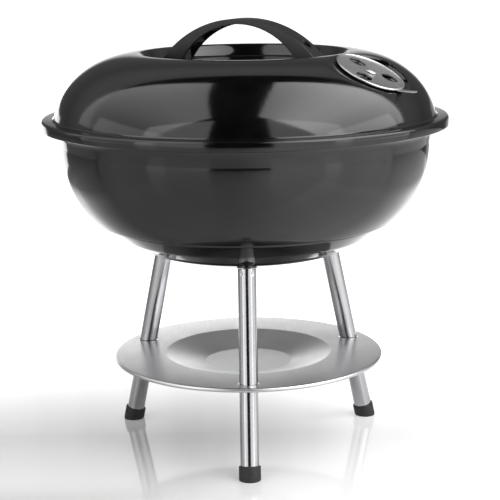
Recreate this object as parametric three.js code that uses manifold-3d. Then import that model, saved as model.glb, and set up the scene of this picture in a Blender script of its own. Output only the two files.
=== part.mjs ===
// A 14-inch-class portable kettle charcoal grill: an enamelled steel bowl and lid on three splayed
// steel tube legs, with a dished ash tray between the legs. Millimetres, +Z up. The origin is the
// kettle's axis at floor level, and the front leg points to -Y.
import * as THREE from 'three';
import { mergeVertices } from 'three/addons/utils/BufferGeometryUtils.js';
import Module from 'manifold-3d';

const wasm = await Module();
wasm.setup();

// ---------- driving dimensions ----------
const aroundSteps = 32; // facets round the kettle's axis, the same for every turned piece
const sheet = 1.4; // enamelled steel of lid and bowl
const gap = 0.4; // running and resting clearance between separate pieces

// lid
const rimRadius = 184; // outside of the lid's skirt
const flangeTop = 303.2;
const skirtBottom = 294.6;
const crestRadius = 95; // the highest ring of the lid, round the handle recess
const crestTop = 360;
const domeBaseHeight = 292;
const domeBaseRadius = 173.4;
const recessRadius = 83.5;
const recessFloor = 349;

// lid handle: an arch strap that is hollow underneath
const handleTurn = -28; // degrees, direction of its long axis
const handleWidth = 22;
const handleTop = 389.5;
const handleOuterRadius = 103;
const handleInnerRadius = 69;
const handleThinnest = 4.8;
const handleSkin = 3;
const handleScrewOut = 62; // screw position along the handle from the middle
const handleScrewHead = 362;

// lid vent: a disc in a flat pocket, whose floor runs out downhill and ramps up on its -Y side
const ventTurn = -34; // degrees round the axis
const ventOut = 130;
const ventHeight = 345.5;
const ventTilt = 26.5; // degrees from level
const ventRadius = 31.5;
const ventPocketRadius = 33.5;
const ventPocketRun = 2; // how far the pocket's floor goes on downhill
const ventRampRun = 30;
const ventRampRise = 5.3;
const ventHoleRadius = 7.3;
const ventHoleOut = 18;
const ventHoleTurns = [44, 164, 284];
const ventSlack = 31; // from the disc's holes to the lid's own holes, degrees: nearly closed
const ventTabWidth = 9;
const ventPlate = 1.2;

// bowl
const beadRadius = 177.6; // centre of the rolled rim
const beadThickness = 3.2;
const beadHeight = 298.1;
const neckRadius = 167;
const neckHeight = 284.4;
const bowlBottom = 170;
const bowlFlatRadius = 40;
const bowlFullness = 2.15; // 2 is an ellipse, more is squarer
const bowlCurveStart = 16; // the side curve is centred on this radius
const bowlCurveTop = 280;
const stepHeight = 208.7; // ledge that carries the charcoal grate
const stepDepth = 8;
const panRadius = 92; // edge of the bottom pan
const panHeight = 182.3;

// legs
const legTurns = { front: -90, right: 25, left: 155 };
const legRadius = 8.2;
const legWall = 1.2;
const footOut = 125; // leg axis to kettle axis at the floor
const legTopOut = 84; // and at legTopHeight
const legTopHeight = 180;
const footCapRadius = 9.6;
const footCapLength = 12;
const tubeSetback = 1.5; // from the tube's top to the leg's top point
const socketLength = 26;

// ash tray
const trayRadius = 124.4;
const trayTop = 81.7;
const traySheet = 1.2;
const traySlopeOuter = 76;
const traySlopeInner = 41;
const trayDepth = 9.5;
const trayHoleRadius = legRadius + 1.1;

// grates
const cookingHeight = 272;
const cookingRadius = 156;
const cookingWire = { rim: 4, wireSize: 3, pitch: 18, crossOut: 60 };
const charcoalRadius = 131;
const charcoalWire = { rim: 4.5, wireSize: 4.5, pitch: 22, crossOut: 45 };
const charcoalHeight = stepHeight + sheet + gap + charcoalWire.rim / 2;

// bottom vent
const bottomVentRadius = 38;
const bottomHoleRadius = 8;
const bottomHoleOut = 23;
const bottomHoleTurns = [30, 150, 270];
const bottomVentSlack = 60; // from the bowl's holes to the disc's: fully closed
const bottomTabWidth = 12;

// fasteners
const shankRadius = 2.5; // handle screws and vent rivets
const shankHole = 3; // hole for them in lid, bowl and discs
const washerBore = 2.9;
const boltRadius = 3; // leg bolts
const boltHole = 3.5;
const nutRadius = 4.7; // across the corners

// ---------- materials ----------
const finish = (color, roughness, metalness) =>
  new THREE.MeshStandardMaterial({ color, roughness, metalness });
const enamel = () => finish(0x0b0b0c, 0.12, 0);
const plastic = () => finish(0x1c1c1d, 0.55, 0);
const rubber = () => finish(0x121212, 0.85, 0);
const steel = () => finish(0xb9bbbd, 0.32, 1);
const plated = () => finish(0xa5a7aa, 0.3, 1);
const wire = () => finish(0xc2c4c6, 0.25, 1);

// ---------- helpers ----------
const rad = THREE.MathUtils.degToRad;
const point = (x, y) => new THREE.Vector2(x, y);

function toSolid(geometry) {
  const plain = geometry.clone();
  plain.deleteAttribute('normal');
  plain.deleteAttribute('uv');
  const merged = mergeVertices(plain, 1e-4);
  const vertProperties = Float32Array.from(merged.attributes.position.array);
  const triVerts = Uint32Array.from(merged.index.array);
  return new wasm.Manifold(new wasm.Mesh({ numProp: 3, vertProperties, triVerts }));
}

function toGeometry(solid) {
  const mesh = solid.getMesh();
  const geometry = new THREE.BufferGeometry();
  geometry.setAttribute('position', new THREE.BufferAttribute(Float32Array.from(mesh.vertProperties), 3));
  geometry.setIndex(Array.from(mesh.triVerts));
  geometry.computeVertexNormals();
  return geometry;
}

// Points of an elliptic arc, angles in degrees.
function arc(cx, cy, rx, ry, from, to, steps) {
  const points = [];
  for (let i = 0; i <= steps; i += 1) {
    const angle = rad(from + ((to - from) * i) / steps);
    points.push(point(cx + rx * Math.cos(angle), cy + ry * Math.sin(angle)));
  }
  return points;
}

// The same line moved sideways by a distance, to its right as it runs.
function offsetLine(points, distance) {
  return points.map((p, i) => {
    const before = points[Math.max(i - 1, 0)];
    const after = points[Math.min(i + 1, points.length - 1)];
    const inward = point(p.x - before.x, p.y - before.y).normalize();
    const outward = point(after.x - p.x, after.y - p.y).normalize();
    const along = i === 0 ? outward : i === points.length - 1 ? inward : inward.clone().add(outward);
    along.normalize();
    const reach = i === 0 || i === points.length - 1 ? 1 : along.dot(outward);
    return point(p.x + (along.y * distance) / reach, p.y - (along.x * distance) / reach);
  });
}

// A solid turned round +Z from a (radius, height) outline, made to run so that its faces point out.
function turned(outline, steps = aroundSteps) {
  const area = THREE.ShapeUtils.area(outline);
  const ordered = area < 0 ? [...outline].reverse() : outline;
  const onAxis = ordered.findIndex((p) => p.x === 0);
  let line = onAxis < 0 ? [...ordered, ordered[0].clone()] : ordered;
  if (onAxis > 0 && ordered[(onAxis + 1) % ordered.length].x === 0) {
    line = [...ordered.slice(onAxis + 1), ...ordered.slice(0, onAxis + 1)];
  }
  const geometry = new THREE.LatheGeometry(line, steps);
  geometry.rotateX(Math.PI / 2);
  return toSolid(geometry);
}

const ring = (inner, outer, low, high, steps = aroundSteps) =>
  turned([point(inner, low), point(outer, low), point(outer, high), point(inner, high)], steps);

function cylinder(radius, low, high, steps = 24) {
  const geometry = new THREE.CylinderGeometry(radius, radius, high - low, steps);
  geometry.rotateX(Math.PI / 2);
  geometry.translate(0, 0, (low + high) / 2);
  return toSolid(geometry);
}

function box(sizeX, sizeY, sizeZ, x, y, z) {
  const geometry = new THREE.BoxGeometry(sizeX, sizeY, sizeZ);
  geometry.translate(x, y, z);
  return toSolid(geometry);
}

// An outline in the X-Z plane given thickness along Y, centred on Y = 0.
function plate(shape, width, curveSteps = 12) {
  const geometry = new THREE.ExtrudeGeometry(shape, {
    depth: width, bevelEnabled: false, curveSegments: curveSteps,
  });
  geometry.rotateX(Math.PI / 2);
  geometry.translate(0, width / 2, 0);
  return toSolid(geometry);
}

const sum = (solids) => solids.reduce((whole, next) => whole.add(next));
const around = (solid, turns, out) =>
  turns.map((turn) => solid.translate([out, 0, 0]).rotate([0, 0, turn]));

function piece(name, solid, material) {
  const mesh = new THREE.Mesh(toGeometry(solid), material);
  mesh.name = name;
  return mesh;
}

// ---------- frames of the turned and tilted sub-assemblies ----------
function frameOf(turn, out, height, tilt) {
  const outer = new THREE.Group();
  outer.rotation.z = rad(turn);
  const inner = new THREE.Group();
  inner.position.set(out, 0, height);
  inner.rotation.y = rad(tilt);
  outer.add(inner);
  return { outer, inner };
}

// The same placement, for a solid that cuts another piece.
const place = (solid, turn, out, height, tilt) =>
  solid.rotate([0, tilt, 0]).translate([out, 0, height]).rotate([0, 0, turn]);

const legTilt = -THREE.MathUtils.radToDeg(Math.atan2(footOut - legTopOut, legTopHeight));
const legLength = Math.hypot(footOut - legTopOut, legTopHeight);
const placeOnLeg = (solid, turn) => place(solid, turn, footOut, 0, legTilt);
const placeOnVent = (solid) => place(solid, ventTurn, ventOut, ventHeight, ventTilt);

// ---------- lid ----------
function lidLine() {
  const wallSteps = 4;
  const wall = [];
  for (let i = 0; i < wallSteps; i += 1) {
    const share = i / wallSteps;
    const rise = (1 - Math.cos(Math.PI * share)) / 2;
    wall.push(point(
      recessRadius + (crestRadius - recessRadius) * share,
      recessFloor + (crestTop - recessFloor) * rise,
    ));
  }
  const domeWidth = domeBaseRadius - crestRadius;
  const domeRise = crestTop - domeBaseHeight;
  const creaseRise = 1.4; // the dome stops this far above the flange
  const domeEnd = THREE.MathUtils.radToDeg(Math.asin((flangeTop + creaseRise - domeBaseHeight) / domeRise));
  const dome = arc(crestRadius, domeBaseHeight, domeWidth, domeRise, 90, domeEnd, 9);
  const edge = 2.4;
  const lip = arc(rimRadius - edge, flangeTop - edge, edge, edge, 90, 0, 2);
  return [
    point(0, recessFloor),
    ...wall,
    ...dome,
    point(domeBaseRadius + 0.4, flangeTop),
    ...lip,
    point(rimRadius, skirtBottom),
  ];
}

// The space over the pocket's floor: a well for the disc, run out downhill, with a ramp on its -Y side.
function pocketSpace(radius, floor) {
  const well = cylinder(radius, floor, floor + 40, 40);
  const downhill = well.translate([ventPocketRun, 0, 0]);
  const ramp = well.translate([0, -ventRampRun, ventRampRise]);
  const hull = (other) => wasm.Manifold.hull([well, other]);
  return placeOnVent(hull(downhill).add(hull(ramp)));
}

function lidShell() {
  const outside = lidLine();
  const inside = offsetLine(outside, sheet);
  inside[0] = point(0, recessFloor - sheet);
  const below = skirtBottom - 10;
  const skirtInside = rimRadius - sheet;
  const filled = turned([...outside, point(0, skirtBottom)]);
  const hollow = turned([...inside.slice(0, -1), point(skirtInside, below), point(0, below)]);
  const pocket = pocketSpace(ventPocketRadius, -gap);
  const pocketBacking = pocketSpace(ventPocketRadius + sheet, -gap - sheet);
  const holeTurns = ventHoleTurns.map((turn) => turn + ventSlack);
  const holes = around(cylinder(ventHoleRadius, -20, 10, 16), holeTurns, ventHoleOut);
  const screwHoles = [-1, 1].map((side) =>
    cylinder(shankHole, recessFloor - 10, recessFloor + 10, 12)
      .translate([side * handleScrewOut, 0, 0]).rotate([0, 0, handleTurn]));
  return filled
    .subtract(pocket)
    .subtract(hollow.subtract(pocketBacking))
    .subtract(placeOnVent(sum([...holes, cylinder(shankHole, -20, 10, 12)])))
    .subtract(sum(screwHoles));
}

function handleSolid() {
  const footHeight = recessFloor + gap;
  const outerCentre = handleTop - handleOuterRadius;
  const innerCentre = handleTop - handleThinnest - handleInnerRadius;
  const outerStart = Math.asin((footHeight - outerCentre) / handleOuterRadius);
  const innerStart = Math.asin((footHeight - innerCentre) / handleInnerRadius);
  const side = new THREE.Shape();
  side.absarc(0, outerCentre, handleOuterRadius, outerStart, Math.PI - outerStart, false);
  side.absarc(0, innerCentre, handleInnerRadius, Math.PI - innerStart, innerStart, true);
  const hollowRadius = handleOuterRadius - handleSkin;
  const hollowStart = Math.asin((footHeight - 3 - outerCentre) / hollowRadius);
  const under = new THREE.Shape();
  under.absarc(0, outerCentre, hollowRadius, hollowStart, Math.PI - hollowStart, false);
  const strap = plate(side, handleWidth, 14);
  const hollow = plate(under, handleWidth - 2 * handleSkin, 14);
  const bossRadius = 6.2;
  const counterboreRadius = 4.7;
  const bosses = [];
  const bores = [];
  for (const end of [-1, 1]) {
    const out = [end * handleScrewOut, 0, 0];
    bosses.push(cylinder(bossRadius, footHeight, handleScrewHead + 2, 16).translate(out));
    bores.push(cylinder(washerBore, footHeight - 1, handleTop, 12).translate(out));
    bores.push(cylinder(counterboreRadius, handleScrewHead, handleTop, 16).translate(out));
  }
  const ribs = [-30, 0, 30].map((at) =>
    box(2, handleWidth - handleSkin, 60, at, 0, handleTop - 30).intersect(strap));
  return strap.subtract(hollow).add(sum(bosses)).add(sum(ribs)).subtract(sum(bores));
}

function addHandle(group) {
  const turnedGroup = new THREE.Group();
  turnedGroup.rotation.z = rad(handleTurn);
  turnedGroup.add(piece('lid_handle', handleSolid(), plastic()));
  const underLid = recessFloor - sheet;
  const screwEnd = underLid - 7;
  const headLow = handleScrewHead + gap;
  const headTop = headLow + 2.8;
  const headRadius = 4.3;
  const slotSize = 1.2;
  const washerTop = underLid - gap;
  const washerLow = washerTop - 1.2;
  const nutLow = underLid - 6;
  for (const [name, end] of [['left', -1], ['right', 1]]) {
    const slot = box(slotSize, 12, slotSize, 0, 0, headTop);
    const cross = box(12, slotSize, slotSize, 0, 0, headTop);
    const head = cylinder(headRadius, headLow, headTop, 16).subtract(slot).subtract(cross);
    const shank = cylinder(shankRadius, screwEnd, headLow + 0.5, 12);
    const nutSolid = cylinder(nutRadius, nutLow, washerLow - gap, 6)
      .subtract(cylinder(washerBore, nutLow - 2, washerLow, 12));
    const screw = piece(`handle_screw_${name}`, head.add(shank), plated());
    const washer = piece(`handle_washer_${name}`, ring(washerBore, 6, washerLow, washerTop, 16), plated());
    const nut = piece(`handle_nut_${name}`, nutSolid, plated());
    for (const part of [screw, washer, nut]) {
      part.position.x = end * handleScrewOut;
      turnedGroup.add(part);
    }
  }
  group.add(turnedGroup);
}

function ventDisc() {
  const rimTop = 2.2;
  const outline = [
    point(shankHole, 0), point(ventRadius - 0.4, 0), point(ventRadius, 0.5),
    point(ventRadius, rimTop - 0.4), point(ventRadius - 0.6, rimTop), point(ventRadius - 2.2, rimTop),
    point(ventRadius - 3.2, ventPlate), point(shankHole, ventPlate),
  ];
  const tabShape = new THREE.Shape([
    point(ventRadius - 3, 0), point(ventRadius, 0), point(ventRadius + 14, 6.2),
    point(ventRadius + 13.6, 7.3), point(ventRadius - 0.6, ventPlate), point(ventRadius - 3, ventPlate),
  ]);
  const tab = plate(tabShape, ventTabWidth);
  const holes = around(cylinder(ventHoleRadius, -5, 5, 16), ventHoleTurns, ventHoleOut);
  return turned(outline, 32).add(tab).subtract(sum(holes));
}

const ventWasherThickness = 0.8;
const ventWasher = (low) => ring(washerBore, 7, low, low + ventWasherThickness, 16);

// A rivet whose domed head stands on one level and whose tail is set at another, either way up.
function ventRivet(head, tail) {
  const up = Math.sign(head - tail);
  return turned([
    point(0, tail - 1.6 * up), point(4.2, tail - 1.6 * up), point(4.6, tail), point(shankRadius, tail),
    point(shankRadius, head), point(5.4, head), point(5, head + up), point(3.4, head + 1.8 * up),
    point(0, head + 2.1 * up),
  ], 16);
}

function addLidVent(group) {
  const { outer, inner } = frameOf(ventTurn, ventOut, ventHeight, ventTilt);
  const under = -gap - sheet;
  inner.add(piece('lid_vent_damper', ventDisc(), steel()));
  const tail = under - 2 * gap - ventWasherThickness;
  inner.add(piece('lid_vent_rivet', ventRivet(ventPlate + gap, tail), plated()));
  inner.add(piece('lid_vent_washer', ventWasher(under - gap - ventWasherThickness), plated()));
  group.add(outer);
}

// ---------- bowl ----------
// A point of the bowl's main curve, from 0 at the bowl's widest to 90 under its middle.
function bowlCurve(angle) {
  const width = neckRadius - bowlCurveStart;
  const depth = bowlCurveTop - bowlBottom;
  const power = 2 / bowlFullness;
  return point(
    bowlCurveStart + width * Math.cos(rad(angle)) ** power,
    bowlCurveTop - depth * Math.sin(rad(angle)) ** power,
  );
}

const beadPoints = 5; // of the line below, the last ones, round the rolled rim

function bowlLine() {
  const sideSteps = 6;
  const stepShare = (bowlCurveTop - stepHeight) / (bowlCurveTop - bowlBottom);
  const stepAngle = THREE.MathUtils.radToDeg(Math.asin(stepShare ** (bowlFullness / 2)));
  const side = [];
  for (let i = 0; i <= sideSteps; i += 1) {
    side.push(bowlCurve(stepAngle * (1 - i / sideSteps)));
  }
  const ledge = side[0].x - stepDepth;
  const neck = arc(neckRadius + 9.4, neckHeight + 1, 8.6, 9.5, 172, 108, 3);
  const bead = arc(beadRadius, beadHeight, beadThickness, beadThickness, -55, 90, beadPoints - 1);
  return [
    point(0, bowlBottom),
    point(bowlFlatRadius, bowlBottom),
    point((bowlFlatRadius + panRadius) / 2 + 3, (bowlBottom + panHeight) / 2 - 0.7),
    point(panRadius, panHeight),
    point(panRadius + 1.5, panHeight + 2.2),
    point((panRadius + ledge) / 2 + 3, (panHeight + stepHeight) / 2 - 1.5),
    point(ledge, stepHeight - 2.5),
    point(ledge, stepHeight),
    ...side,
    ...neck,
    ...bead,
  ];
}

// The wall follows the outside line up to the neck; the rolled rim above it is solid.
function bowlHollow() {
  const outside = bowlLine();
  const inside = offsetLine(outside.slice(0, outside.length - beadPoints), -sheet);
  inside[0] = point(0, bowlBottom + sheet);
  const mouth = beadRadius - beadThickness;
  const above = beadHeight + 20;
  return turned([...inside, point(mouth, beadHeight - 2), point(mouth, above), point(0, above)]);
}

function bowlSolid() {
  const outside = bowlLine();
  const filled = turned([...outside, point(0, beadHeight + beadThickness)]);
  const low = bowlBottom - 10;
  const high = bowlBottom + 10;
  const vents = around(cylinder(bottomHoleRadius, low, high, 16), bottomHoleTurns, bottomHoleOut);
  const bolt = cylinder(boltHole, legLength - 20, legLength + 60, 12);
  const boltHoles = Object.values(legTurns).map((turn) => placeOnLeg(bolt, turn));
  return filled
    .subtract(bowlHollow())
    .subtract(sum([...vents, cylinder(shankHole, low, high, 12)]))
    .subtract(sum(boltHoles));
}

// The bowl's outside grown by a small clearance, to shape what is fitted against it.
function bowlGrown() {
  const outside = bowlLine();
  const grown = offsetLine(outside.slice(0, outside.length - beadPoints), gap);
  grown[0] = point(0, bowlBottom - gap);
  return turned([...grown, point(beadRadius, beadHeight), point(0, beadHeight)]);
}

// The space inside the bowl, less the same clearance.
function bowlShrunk() {
  const outside = bowlLine();
  const shrunk = offsetLine(outside.slice(0, outside.length - beadPoints), -sheet - gap);
  shrunk[0] = point(0, bowlBottom + sheet + gap);
  return turned([...shrunk, point(neckRadius, beadHeight), point(0, beadHeight)]);
}

// ---------- legs ----------
function addLeg(group, name, turn, grownBowl, insideBowl) {
  const { outer, inner } = frameOf(turn, footOut, 0, legTilt);
  const tubeLow = 6;
  const tubeHigh = legLength - tubeSetback;
  const tube = ring(legRadius - legWall, legRadius, tubeLow, tubeHigh, 20);
  inner.add(piece(`leg_tube_${name}`, tube, steel()));

  const insertTop = tubeHigh - 0.5;
  const insert = ring(boltHole, legRadius - legWall - gap, insertTop - 18, insertTop, 16);
  inner.add(piece(`leg_insert_${name}`, insert, plated()));

  const capLine = [
    point(0, -6), point(footCapRadius - 1.6, -6), point(footCapRadius, 1.5),
    point(footCapRadius, footCapLength - 1), point(footCapRadius - 1, footCapLength),
    point(legRadius + gap, footCapLength),
    point(legRadius + gap, tubeLow - gap), point(0, tubeLow - gap),
  ];
  const floorCut = placeOnLeg(turned(capLine, 20), turn).subtract(box(600, 600, 40, 0, 0, -20));
  group.add(piece(`leg_foot_${name}`, floorCut, rubber()));

  const socketLow = tubeHigh + gap;
  const socketTop = tubeHigh + socketLength;
  const socketLine = [
    point(boltHole, socketLow), point(legRadius + 0.5, socketLow), point(legRadius + 0.7, tubeHigh + 2),
    point(legRadius - 0.9, socketTop), point(boltHole, socketTop),
  ];
  const socket = placeOnLeg(turned(socketLine, 20), turn).subtract(grownBowl);
  group.add(piece(`leg_socket_${name}`, socket, enamel()));

  // the bolt stands on its washer inside the bowl, square to the leg
  const seat = seatHeight(turn, insideBowl);
  const washer = ring(boltHole, 9, seat, seat + 1.4, 16);
  inner.add(piece(`leg_bolt_washer_${name}`, washer, plated()));
  const headLow = seat + 1.4 + gap;
  const shank = cylinder(boltRadius, insertTop - 14, headLow + 1, 12);
  inner.add(piece(`leg_bolt_${name}`, cylinder(5.6, headLow, headLow + 4, 6).add(shank), plated()));
  group.add(outer);
}

// How far up the leg's axis a washer first clears the bowl's inside surface.
function seatHeight(turn, insideBowl) {
  let low = legLength;
  while (low < legLength + 60) {
    const washer = placeOnLeg(cylinder(9.2, low, low + 1, 16), turn);
    if (washer.subtract(insideBowl).isEmpty()) return low;
    low += 0.25;
  }
  throw new Error('no seat for the leg bolt');
}

// ---------- ash tray ----------
function trayLine() {
  const edge = 1.6;
  return [
    point(0, trayTop - trayDepth),
    point(traySlopeInner - 1, trayTop - trayDepth),
    point(traySlopeInner + 1, trayTop - trayDepth + 0.5),
    point(traySlopeOuter - 1, trayTop - 0.5),
    point(traySlopeOuter + 1, trayTop),
    ...arc(trayRadius - edge, trayTop - edge, edge, edge, 90, 0, 3),
    point(trayRadius, trayTop - 3.8),
  ];
}

function ashTray() {
  const top = trayLine();
  const under = offsetLine(top, traySheet);
  under[0] = point(0, trayTop - trayDepth - traySheet);
  const disc = turned([...top, ...under.reverse()]);
  const hole = cylinder(trayHoleRadius, 60, 110, 20);
  const holes = Object.values(legTurns).map((turn) => placeOnLeg(hole, turn));
  return disc.subtract(sum(holes));
}

// ---------- grates ----------
function wireRing(radius, height, thickness) {
  const section = arc(radius, height, thickness / 2, thickness / 2, 0, 300, 5);
  return turned(section);
}

function bar(length, thickness) {
  const geometry = new THREE.CylinderGeometry(thickness / 2, thickness / 2, length, 6);
  return toSolid(geometry);
}

// Parallel wires across a ring, resting on it and on two cross wires.
function grate({ radius, height, rim, wireSize, pitch, crossOut }) {
  const solids = [wireRing(radius, height, rim)];
  const wireHeight = height + rim / 2 + wireSize / 2 - 0.8;
  const count = Math.floor((radius - rim) / pitch);
  for (let i = -count; i <= count; i += 1) {
    const across = i * pitch;
    const half = Math.sqrt(radius * radius - across * across);
    solids.push(bar(2 * half, wireSize).translate([across, 0, wireHeight]));
  }
  for (const out of [-crossOut, crossOut]) {
    const half = Math.sqrt(radius * radius - out * out);
    solids.push(bar(2 * half, rim).rotate([0, 0, 90]).translate([0, out, height]));
  }
  return sum(solids);
}

// Small bent strips, spot-welded inside the bowl, that carry the cooking grate.
function addBrackets(group, insideBowl) {
  const shelf = cookingHeight - cookingWire.rim / 2 - gap;
  const strip = 1.6;
  const turns = { front: -90, right: 30, left: 150 };
  for (const [name, turn] of Object.entries(turns)) {
    const arm = box(20, 14, strip, 160, 0, shelf - strip / 2);
    const wallSide = box(10, 14, 16, 167, 0, shelf - 8);
    const bracket = arm.add(wallSide).rotate([0, 0, turn]).intersect(insideBowl);
    group.add(piece(`grate_bracket_${name}`, bracket, plated()));
  }
}

// ---------- bottom vent ----------
function addBottomVent(group) {
  const top = bowlBottom - gap;
  const low = top - ventPlate;
  const tabLow = low - 7;
  const tabEnd = bottomVentRadius + 26;
  const holeTurns = bottomHoleTurns.map((turn) => turn + bottomVentSlack);
  const holes = around(cylinder(bottomHoleRadius, low - 5, top + 5, 16), holeTurns, bottomHoleOut);
  const tabShape = new THREE.Shape([
    point(bottomVentRadius - 3, low), point(bottomVentRadius + 16, tabLow), point(tabEnd, tabLow),
    point(tabEnd, tabLow + ventPlate), point(bottomVentRadius + 16.4, tabLow + ventPlate),
    point(bottomVentRadius, top), point(bottomVentRadius - 3, top),
  ]);
  const tab = plate(tabShape, bottomTabWidth).rotate([0, 0, 90]);
  const disc = ring(shankHole, bottomVentRadius, low, top, 32).add(tab);
  group.add(piece('bottom_vent_damper', disc.subtract(sum(holes)), steel()));
  const washerLow = bowlBottom + sheet + gap;
  const tail = washerLow + ventWasherThickness + gap;
  group.add(piece('bottom_vent_rivet', ventRivet(low - gap, tail), plated()));
  group.add(piece('bottom_vent_washer', ventWasher(washerLow), plated()));
}

// ---------- assembly ----------
const grill = new THREE.Group();
grill.add(piece('lid_shell', lidShell(), enamel()));
addHandle(grill);
addLidVent(grill);

grill.add(piece('bowl', bowlSolid(), enamel()));
const grownBowl = bowlGrown();
const insideBowl = bowlShrunk();
for (const [name, turn] of Object.entries(legTurns)) {
  addLeg(grill, name, turn, grownBowl, insideBowl);
}
grill.add(piece('ash_tray', ashTray(), steel()));
addBrackets(grill, insideBowl);
const cooking = grate({ radius: cookingRadius, height: cookingHeight, ...cookingWire });
const charcoal = grate({ radius: charcoalRadius, height: charcoalHeight, ...charcoalWire });
grill.add(piece('cooking_grate', cooking, wire()));
grill.add(piece('charcoal_grate', charcoal, wire()));
addBottomVent(grill);

export default grill;
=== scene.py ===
"""The kettle charcoal grill's looks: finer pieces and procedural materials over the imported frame."""

import math

import bmesh
import bpy
from mathutils import Euler, Matrix, Vector


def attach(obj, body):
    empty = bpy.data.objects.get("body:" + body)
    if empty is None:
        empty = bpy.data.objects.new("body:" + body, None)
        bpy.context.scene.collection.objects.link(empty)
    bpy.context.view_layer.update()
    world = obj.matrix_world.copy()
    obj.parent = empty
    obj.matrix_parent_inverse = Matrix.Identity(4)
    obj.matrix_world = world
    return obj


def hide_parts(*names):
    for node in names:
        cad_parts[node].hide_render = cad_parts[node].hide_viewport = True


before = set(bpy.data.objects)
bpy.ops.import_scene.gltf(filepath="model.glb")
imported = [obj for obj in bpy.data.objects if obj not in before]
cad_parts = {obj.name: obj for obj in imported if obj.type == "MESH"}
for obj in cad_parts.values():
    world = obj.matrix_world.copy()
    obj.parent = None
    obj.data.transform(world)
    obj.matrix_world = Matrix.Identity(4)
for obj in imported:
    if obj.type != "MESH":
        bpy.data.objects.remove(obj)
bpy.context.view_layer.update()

# ---------- driving dimensions, millimetres and degrees ----------
SHEET = 1.4  # the enamelled sheet of bowl and lid
GAP = 0.4  # between pieces that touch on the real object
PIN_HOLE, SCREW_HOLE, BOLT_HOLE = 3, 2.9, 3.5  # radii
WASHER_PLATE, SPRING_PLATE, SPRING_RADIUS = 1.2, 0.8, 7

# the lid, from its turned-down skirt over the dome and crest to the recess in its middle
RIM_RADIUS, FLANGE_TOP, SKIRT_BOTTOM = 184, 303.2, 294.6
CREST_RADIUS, CREST_TOP = 95, 360
DOME_RADIUS, DOME_HEIGHT = 173.4, 292
RECESS_RADIUS, RECESS_FLOOR = 83.5, 349
LIP = 2.4  # the rounded edge between flange and skirt

# the arch handle, its turn about the lid's axis and its two screws
HANDLE_TURN, HANDLE_WIDTH, HANDLE_TOP = -28, 22, 389.5
HANDLE_OUTER, HANDLE_INNER, HANDLE_THINNEST, HANDLE_SKIN = 103, 69, 4.8, 3
HANDLE_FOOT = RECESS_FLOOR + GAP
OUTER_CENTRE = HANDLE_TOP - HANDLE_OUTER
INNER_CENTRE = HANDLE_TOP - HANDLE_THINNEST - HANDLE_INNER
RIB_PLACES, RIB_HALF, RIB_REACH = (-46, -30, -15, 0, 15, 30, 46), 1, 9
SCREW_OUT, SCREW_HEAD, BOSS_RADIUS, COUNTERBORE = 62, 362, 6.2, 4.7
SCREW_LENGTH, NUT_RADIUS, WASHER_RADIUS = 7, 4.7, 6

# the lid's vent: where its pocket and disc sit, and how they are tilted
VENT_TURN, VENT_OUT, VENT_HEIGHT, VENT_TILT = -34, 130, 345.5, 26.5
VENT_RADIUS, POCKET_RADIUS, POCKET_RUN, RAMP_SLOPE = 31.5, 33.5, 2, 5.3 / 30
VENT_HOLE, VENT_HOLE_OUT, VENT_HOLE_TURNS, VENT_SLACK = 7.3, 18, (44, 164, 284), 31
VENT_PLATE, VENT_CUT, POCKET_REACH = 1.2, (-15, 12), 90
TAB_HALF, TAB_END_HALF, TAB_THICK = 4.5, 3.5, 1.1

# the bowl, from its rolled rim over the neck and round side to the stepped pan underneath
BEAD_RADIUS, BEAD_SIZE, BEAD_HEIGHT = 177.6, 3.2, 298.1
NECK_RADIUS, NECK_HEIGHT = 167, 284.4
BOWL_BOTTOM, BOWL_FLAT = 170, 40
BOWL_FULLNESS, BOWL_START, BOWL_TOP = 2.15, 16, 280
STEP_HEIGHT, STEP_DEPTH, PAN_RADIUS, PAN_HEIGHT = 208.7, 8, 92, 182.3

# the legs: each leans in from its foot on the floor to the bowl
LEG_TURNS = {"front": -90, "right": 25, "left": 155}
LEG_RADIUS, LEG_WALL, FOOT_OUT, LEG_TOP_OUT, LEG_TOP = 8.2, 1.2, 125, 84, 180
LEG_TILT = -math.degrees(math.atan2(FOOT_OUT - LEG_TOP_OUT, LEG_TOP))
LEG_LENGTH = math.hypot(FOOT_OUT - LEG_TOP_OUT, LEG_TOP)
TUBE_LOW, TUBE_HIGH = 6, LEG_LENGTH - 1.5
CAP_RADIUS, CAP_LENGTH = 9.6, 12
SOCKET_LENGTH = 26
CRIMP_TURNS, CRIMP_DEPTH, CRIMP_DOWN = (-36, 36), 0.5, 5
SEAT_RADIUS, SEAT_PLATE, BOLT_RADIUS, BOLT_HEAD = 9, 1.4, 3, 5.6

# the ash tray: a flat ring, a slope and a flat dish
TRAY_RADIUS, TRAY_TOP, TRAY_SHEET, TRAY_DEPTH = 124.4, 81.7, 1.2, 9.5
SLOPE_OUTER, SLOPE_INNER, TRAY_EDGE, TRAY_CURL = 76, 41, 1.6, 1.9
TRAY_HOLE, TRAY_CUT = 9.3, (60, 110)

# the two wire grates
COOKING = {"radius": 156, "height": 272, "rim": 4, "wire": 3, "pitch": 18, "cross": 60}
CHARCOAL_HEIGHT = STEP_HEIGHT + SHEET + GAP + 2.25
CHARCOAL = {"radius": 131, "height": CHARCOAL_HEIGHT, "rim": 4.5, "wire": 4.5, "pitch": 22, "cross": 45}
WELD_DEPTH = 0.8

# the bowl's own vent
BOTTOM_RADIUS, BOTTOM_HOLE, BOTTOM_HOLE_OUT, BOTTOM_HOLE_TURNS = 38, 8, 23, (30, 150, 270)
BOTTOM_SLACK, BOTTOM_TAB_WIDTH = 60, 12
BOTTOM_CUT = (BOWL_BOTTOM - 9, BOWL_BOTTOM + 9)


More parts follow.
